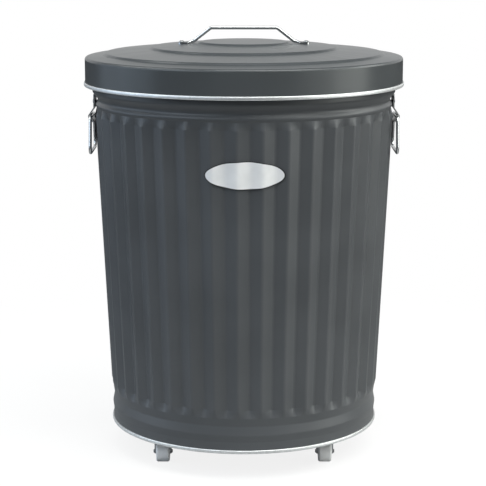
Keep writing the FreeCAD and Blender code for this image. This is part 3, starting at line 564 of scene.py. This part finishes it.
@dataclass(frozen=True)
class DarkEdgedFoil:
    """A pale satin film with a dark border line round an oval field."""

    name: str
    centre: Point
    field_size: tuple[float, float]
    colour: Colour = (0.76, 0.76, 0.77)
    border: Colour = (0.012, 0.013, 0.015)
    roughness: float = 0.55
    gloss_swing: float = 0.03
    dim_gain: float = 0.94
    mottle_scale: float = 60.0
    grain_scale: float = 1600.0
    grain_depth: float = 0.02 * MM
    grain_strength: float = 0.3

    def build(self, effects: Effects) -> bpy.types.Material:
        """Make the material.

        Args:
            effects: The shared node groups.

        Returns:
            The finished material.
        """
        material, graph, place = start_material(self.name)
        half_wide, half_tall = (length / 2 for length in self.field_size)
        oval = graph.effect(effects.oval, Vector=place, Centre=self.centre,
                            Stretch=(1.0 / half_wide, 0.0, 1.0 / half_tall))
        mottle = graph.effect(effects.mottle, Vector=place, Scale=self.mottle_scale)
        grain = graph.effect(effects.peel, Vector=place, Scale=self.grain_scale)
        film = graph.mix(Mixed.COLOUR, mottle.outputs["Shade"], toned(self.colour, self.dim_gain),
                         self.colour)
        base = graph.mix(Mixed.COLOUR, oval.outputs["Mask"], self.border, film)
        gloss = graph.span(mottle.outputs["Shade"], WHOLE,
                           (self.roughness - self.gloss_swing, self.roughness + self.gloss_swing))
        skin = graph.bump(grain.outputs["Height"], self.grain_depth, self.grain_strength)
        shader = graph.add("BsdfPrincipled", Base_Color=base, Roughness=gloss, Normal=skin)
        graph.add("OutputMaterial", Surface=shader.outputs[0])
        return material


Finish = PowderCoat | Galvanised | Moulded | DarkEdgedFoil


@dataclass
class Finishes:
    """Every finish of the bin, built once and given to the nodes by their material slot."""

    effects: Effects
    materials: dict[str, bpy.types.Material] = field(default_factory=dict)
    recipes: tuple[Finish, ...] = (
        PowderCoat("dark_coat", (0.073, 0.077, 0.083), roughness=0.36),
        # the lid's coat is the body's paint in a darker colour: painted shade that dims the lid
        PowderCoat("lid_coat", (0.058, 0.063, 0.067), roughness=0.29, gloss_swing=0.01, sheet_scale=9.0,
                   sheet_depth=0.2 * MM, ripple_depth=0.9 * MM, peel_depth=0.006 * MM, scuff_amount=0.05),
        Galvanised("bright_hoop", (0.84, 0.85, 0.86), roughness=0.46, skin_depth=0.01 * MM,
                   scuff_amount=0.2),
        Galvanised("galvanised_rod", (0.62, 0.63, 0.64), roughness=0.24, flake_contrast=0.04,
                   flake_gloss=0.012, skin_depth=0.004 * MM, scuff_amount=0.1),
        Galvanised("galvanised_strip", (0.76, 0.77, 0.78), roughness=0.4),
        Galvanised("rivet_steel", (0.36, 0.37, 0.38), roughness=0.38),
        Galvanised("caster_steel", (0.40, 0.41, 0.43), roughness=0.36),
        Moulded("wheel_nylon", (0.92, 0.92, 0.94), roughness=0.45),
    )

    def build(self) -> None:
        """Make the materials of the record's slots."""
        for recipe in self.recipes:
            self.add(recipe)

    def add(self, finish: Finish) -> None:
        """Make a finish's material and keep it by the finish's name."""
        self.materials[finish.name] = finish.build(self.effects)

    def dress(self, piece: Piece, slot: str) -> None:
        """Give a piece one material alone, that of a slot."""
        piece.data.materials.clear()
        piece.data.materials.append(self.materials[slot])

    def dress_nodes(self) -> None:
        """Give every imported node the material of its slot."""
        for row in frame["record"]["subparts"]:
            self.dress(frame["nodes"][row["node"]], row["material_slot"])
            LOG.info("%s wears %s", row["node"], row["material_slot"])


def select_only(piece: Piece) -> None:
    """Make a piece the one selected and active object.

    Args:
        piece: The object to select.
    """
    bpy.ops.object.select_all(action="DESELECT")
    piece.select_set(True)
    bpy.context.view_layer.objects.active = piece


def apply_modifier(piece: Piece, kind: str, **settings: object) -> None:
    """Add a modifier to a piece and apply it.

    Args:
        piece: The object to change.
        kind: The modifier's type, such as SOLIDIFY.
        **settings: The modifier's values by name.
    """
    select_only(piece)
    modifier = piece.modifiers.new(kind.lower(), kind)
    for name, value in settings.items():
        setattr(modifier, name, value)
    bpy.ops.object.modifier_apply(modifier=modifier.name)


def settle(piece: Piece) -> None:
    """Bake a piece's place, turn and scale into its mesh."""
    select_only(piece)
    bpy.ops.object.transform_apply(location=True, rotation=True, scale=True)


@dataclass(frozen=True)
class LaidSheet:
    """A thin sheet that lies on the fluted body.

    The centre and the size are given across and up. The margin is how much larger than the finished
    sheet the grid is that it is trimmed from.
    """

    name: str
    centre: tuple[float, float]
    size: tuple[float, float]
    facing: Facing
    gauge: float
    lift: float
    margin: float = 1.0
    slack_steps: int = 0
    slack_factor: float = 0.5
    column_pitch: float = 0.8 * MM
    row_pitch: float = 2.4 * MM
    throw_distance: float = 400.0 * MM
    crease_degrees: float = 35.0

    def build(self) -> Piece:
        """Model the sheet: a grid is thrown on the body, eased over the flutes, thickened and trimmed.

        Returns:
            The sheet, settled at the origin.
        """
        wide, tall = (self.margin * length for length in self.size)
        bpy.ops.object.select_all(action="DESELECT")
        bpy.ops.mesh.primitive_grid_add(
            x_subdivisions=round(wide / self.column_pitch), y_subdivisions=round(tall / self.row_pitch),
            size=UNIT, location=self.point_at(self.throw_distance),
            rotation=(QUARTER_TURN, 0.0, self.facing.turn))
        sheet = bpy.context.active_object
        sheet.name = self.name
        sheet.scale = (wide, tall, UNIT)
        settle(sheet)
        apply_modifier(sheet, "SHRINKWRAP", target=frame["nodes"]["body_shell"], wrap_method="PROJECT",
                       use_project_y=True, use_positive_direction=self.facing is Facing.FRONT,
                       use_negative_direction=self.facing is Facing.BACK)
        if self.slack_steps:
            apply_modifier(sheet, "SMOOTH", factor=self.slack_factor, iterations=self.slack_steps,
                           use_x=False, use_z=False)
        sheet.location.y = self.facing.sign * self.lift
        settle(sheet)
        apply_modifier(sheet, "SOLIDIFY", thickness=self.gauge, offset=1.0)
        self.trim(sheet)
        select_only(sheet)
        bpy.ops.object.shade_smooth_by_angle(angle=math.radians(self.crease_degrees))
        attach(sheet, "can")
        LOG.info("%s laid on the body, %d faces", self.name, len(sheet.data.polygons))
        return sheet

    def point_at(self, distance: float) -> Point:
        """Give the point over the sheet's centre that is a distance out from the bin's axis."""
        return self.centre[0], self.facing.sign * distance, self.centre[1]

    def trim(self, sheet: Piece) -> None:
        """Leave the sheet a rectangle, as the grid is."""


@dataclass(frozen=True)
class OvalLabel(LaidSheet):
    """The bare oval sticker on the front, pale inside a dark border line."""

    name: str = "oval_label"
    centre: tuple[float, float] = (1.1 * MM, 383.5 * MM)
    size: tuple[float, float] = (97.4 * MM, 34.8 * MM)
    facing: Facing = Facing.FRONT
    gauge: float = 0.25 * MM
    lift: float = 0.9 * MM
    margin: float = 1.15
    slack_steps: int = 90
    field_size: tuple[float, float] = (94.8 * MM, 32.6 * MM)
    punch_sides: int = 160
    punch_depth: float = 200.0 * MM
    punch_distance: float = 190.0 * MM

    def trim(self, sheet: Piece) -> None:
        """Cut the sheet to an oval of its own size.

        Args:
            sheet: The sheet to cut.
        """
        bpy.ops.object.select_all(action="DESELECT")
        bpy.ops.mesh.primitive_cylinder_add(
            vertices=self.punch_sides, radius=UNIT / 2, depth=self.punch_depth,
            location=self.point_at(self.punch_distance), rotation=(QUARTER_TURN, 0.0, 0.0))
        punch = bpy.context.active_object
        punch.scale = (*self.size, UNIT)
        settle(punch)
        apply_modifier(sheet, "BOOLEAN", operation="INTERSECT", solver="EXACT", object=punch)
        bpy.data.objects.remove(punch, do_unlink=True)

    def dress(self, sticker: Piece, finishes: Finishes) -> None:
        """Give the sticker its foil, pale inside a dark border line.

        Args:
            sticker: The modelled sticker.
            finishes: The bin's finishes, which gain the foil.
        """
        foil = DarkEdgedFoil("label_foil", self.point_at(0.0), self.field_size)
        finishes.add(foil)
        finishes.dress(sticker, foil.name)


@dataclass(frozen=True)
class LockSeam(LaidSheet):
    """The folded seam that closes the body sheet down its back."""

    name: str = "back_lock_seam"
    centre: tuple[float, float] = (8.2 * MM, 253.0 * MM)
    size: tuple[float, float] = (7.5 * MM, 352.0 * MM)
    facing: Facing = Facing.BACK
    gauge: float = 0.9 * MM
    lift: float = 0.05 * MM

    def dress(self, lock: Piece, finishes: Finishes) -> None:
        """Give the seam the body's own coat."""
        finishes.dress(lock, "dark_coat")


@dataclass(frozen=True)
class Camera:
    """The photograph's viewpoint: a long lens a little above the lid, aimed along +Y and pitched down.

    The pixel sizes are those of the photograph, where the bin's axis stands at centre_pixel.
    """

    distance: float = 2.1031
    height: float = 0.6786
    level_degrees: float = 90.0
    pitch_degrees: float = 11.10
    focal_pixels: float = 1635.54
    frame_pixels: float = 486.0
    centre_pixel: float = 243.9
    sensor: float = 36.0
    far_clip: float = 100.0

    def build(self) -> Piece:
        """Make the camera and make it the scene's own.

        Returns:
            The camera object.
        """
        data = bpy.data.cameras.new("studio_camera")
        data.sensor_width = self.sensor
        data.lens = self.sensor * self.focal_pixels / self.frame_pixels
        data.shift_x = (self.frame_pixels / 2 - self.centre_pixel) / self.frame_pixels
        data.clip_end = self.far_clip
        camera = bpy.data.objects.new("studio_camera", data)
        camera.location = (0.0, -self.distance, self.height)
        camera.rotation_euler = (math.radians(self.level_degrees - self.pitch_degrees), 0.0, 0.0)
        bpy.context.scene.collection.objects.link(camera)
        bpy.context.scene.camera = camera
        return camera


@dataclass(frozen=True)
class SoftBox:
    """One square soft lamp on a sphere round the bin, aimed near the bin's middle.

    The azimuth is counted from the front, positive to the right as the camera sees it. A lamp that isn't
    mirrored lights the bin and is left out of its reflections.
    """

    name: str
    azimuth: float
    elevation: float
    power: float
    colour: Colour = (0.97, 1.0, 0.97)
    mirrored: bool = True
    distance: float = 3.0
    width: float = 1.6
    aim_height: float = 0.3

    def build(self) -> Piece:
        """Make the lamp.

        Returns:
            The lamp object.
        """
        data = bpy.data.lights.new(self.name, "AREA")
        data.shape = "SQUARE"
        data.size = self.width
        data.energy = self.power
        data.color = self.colour
        lamp = bpy.data.objects.new(self.name, data)
        turn, rise = math.radians(self.azimuth), math.radians(self.elevation)
        away = Vector((math.sin(turn) * math.cos(rise), -math.cos(turn) * math.cos(rise), math.sin(rise)))
        lamp.location = self.distance * away + Vector((0.0, 0.0, self.aim_height))
        lamp.rotation_euler = (-away).to_track_quat("-Z", "Y").to_euler()
        lamp.visible_glossy = self.mirrored
        bpy.context.scene.collection.objects.link(lamp)
        LOG.info("%s hung at %.0f degrees round and %.0f up", self.name, self.azimuth, self.elevation)
        return lamp


@dataclass(frozen=True)
class Surround:
    """The world: white to the camera, a faint fill, and in reflections bright at the back and the sides.

    The spans are parts of a ray's direction, where 1 is straight along the axis and -1 straight against it.
    """

    white_level: float = 1.0
    fill_level: float = 0.06
    back_level: float = 0.72
    back_span: Span = (0.5, 0.7)
    back_height_span: Span = (0.3, 0.55)
    side_level: float = 0.3
    side_front_span: Span = (-0.3, -0.1)
    side_back_span: Span = (0.1, 0.3)

    def build(self) -> None:
        """Make the world and make it the scene's own."""
        world = bpy.data.worlds.new("studio_world")
        world.use_nodes = True
        bpy.context.scene.world = world
        graph = Graph(world.node_tree)
        axes = graph.add("SeparateXYZ", Vector=graph.add("TexCoord").outputs["Generated"])
        along, up = axes.outputs["Y"], axes.outputs["Z"]
        behind = graph.math("MULTIPLY", graph.span(along, self.back_span, (0.0, self.back_level)),
                            graph.span(up, self.back_height_span, FALLING))
        beside = graph.math("MULTIPLY", graph.span(along, self.side_front_span, (0.0, self.side_level)),
                            graph.span(along, self.side_back_span, FALLING))
        path = graph.add("LightPath")
        seen = graph.math("MAXIMUM", path.outputs["Is Glossy Ray"], path.outputs["Is Transmission Ray"])
        level = graph.mix(Mixed.NUMBER, seen, self.fill_level, graph.math("ADD", behind, beside))
        final = graph.mix(Mixed.NUMBER, path.outputs["Is Camera Ray"], level, self.white_level)
        sky = graph.add("Background", Color=WHITE, Strength=final)
        graph.add("OutputWorld", Surface=sky.outputs[0])


@dataclass(frozen=True)
class PaleFloor:
    """The pale floor: the camera sees a faint shadow near the bin and plain white further out.

    The reaches are distances from the bin's axis. Rays other than the camera's see a brighter tone inside
    the
    near reach and far_white beyond it: a painted pool of light round the bin, seen in reflections and
    bounce light.
    """

    size: float = 40.0
    # brighter floor tone near the bin for rays other than the camera's: a painted pool of light
    painted_pool_white: float = 0.38
    far_white: float = 0.15
    near_reach: Span = (0.55, 0.75)
    shadow_white: float = 0.85
    shadow_share: float = 0.15
    shadow_reach: Span = (0.4, 0.9)

    def build(self) -> Piece:
        """Make the floor.

        Returns:
            The floor, which isn't part of the bin.
        """
        bpy.ops.object.select_all(action="DESELECT")
        bpy.ops.mesh.primitive_plane_add(size=self.size)
        floor = bpy.context.active_object
        floor.name = "studio_floor"
        floor.data.materials.append(self.material())
        return floor

    def material(self) -> bpy.types.Material:
        """Make the floor's material.

        Returns:
            The finished material.
        """
        material, graph, place = start_material("pale_floor")
        to_camera = graph.add("LightPath").outputs["Is Camera Ray"]
        away = graph.vector("LENGTH", place)
        # painted pool of light: the floor is brighter near the bin in reflections and bounce light
        painted_pool_tone = graph.span(away, self.near_reach, (self.painted_pool_white, self.far_white))
        tone = graph.mix(Mixed.NUMBER, to_camera, painted_pool_tone, self.shadow_white)
        matt = graph.add("BsdfDiffuse", Color=tone)
        glow = graph.add("Emission", Color=WHITE, Strength=1.0)
        glowing = graph.span(away, self.shadow_reach, (1.0 - self.shadow_share, 1.0))
        surface = graph.add("MixShader", Fac=graph.math("MULTIPLY", glowing, to_camera))
        graph.set(surface.inputs[1], matt.outputs[0])
        graph.set(surface.inputs[2], glow.outputs[0])
        graph.add("OutputMaterial", Surface=surface.outputs[0])
        return material


@dataclass(frozen=True)
class Studio:
    """The white studio: its surround, floor, lamps and camera."""

    lamps: tuple[SoftBox, ...] = (
        SoftBox("left_back_low_softbox", -105.0, 10.0, 8.0, (0.70, 0.84, 1.0)),
        SoftBox("left_low_softbox", -80.0, 10.0, 11.8, (0.66, 0.82, 1.0)),
        SoftBox("left_softbox", -55.0, 30.0, 22.0, (0.78, 0.89, 1.0)),
        SoftBox("left_front_softbox", -28.0, 30.0, 10.2, (0.82, 0.91, 1.0)),
        SoftBox("left_back_softbox", -105.0, 50.0, 28.0),
        SoftBox("top_softbox", 0.0, 70.0, 44.0, (0.98, 1.0, 0.98)),
        SoftBox("right_front_softbox", 28.0, 50.0, 26.6),
        SoftBox("right_high_softbox", 55.0, 50.0, 40.0, (0.98, 1.0, 0.96)),
        SoftBox("right_front_strip", 55.0, 10.0, 8.2, (0.98, 1.0, 0.96)),
        SoftBox("right_low_softbox", 80.0, 10.0, 26.0, (0.97, 1.0, 0.95)),
        SoftBox("right_back_softbox", 105.0, 30.0, 36.0, (0.97, 1.0, 0.96)),
        SoftBox("back_softbox", 165.0, 28.0, 22.0, mirrored=False),
    )

    def build(self) -> None:
        """Make the whole studio."""
        Surround().build()
        PaleFloor().build()
        for lamp in self.lamps:
            lamp.build()
        Camera().build()


def main() -> None:
    """Build the studio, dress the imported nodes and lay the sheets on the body."""
    logging.basicConfig(level=logging.INFO, format="%(name)s: %(message)s")
    bpy.context.scene.view_settings.view_transform = "Standard"
    Studio().build()
    finishes = Finishes(Effects())
    finishes.build()
    finishes.dress_nodes()
    for sheet in (OvalLabel(), LockSeam()):
        sheet.dress(sheet.build(), finishes)


if __name__ == "__main__":
    main()
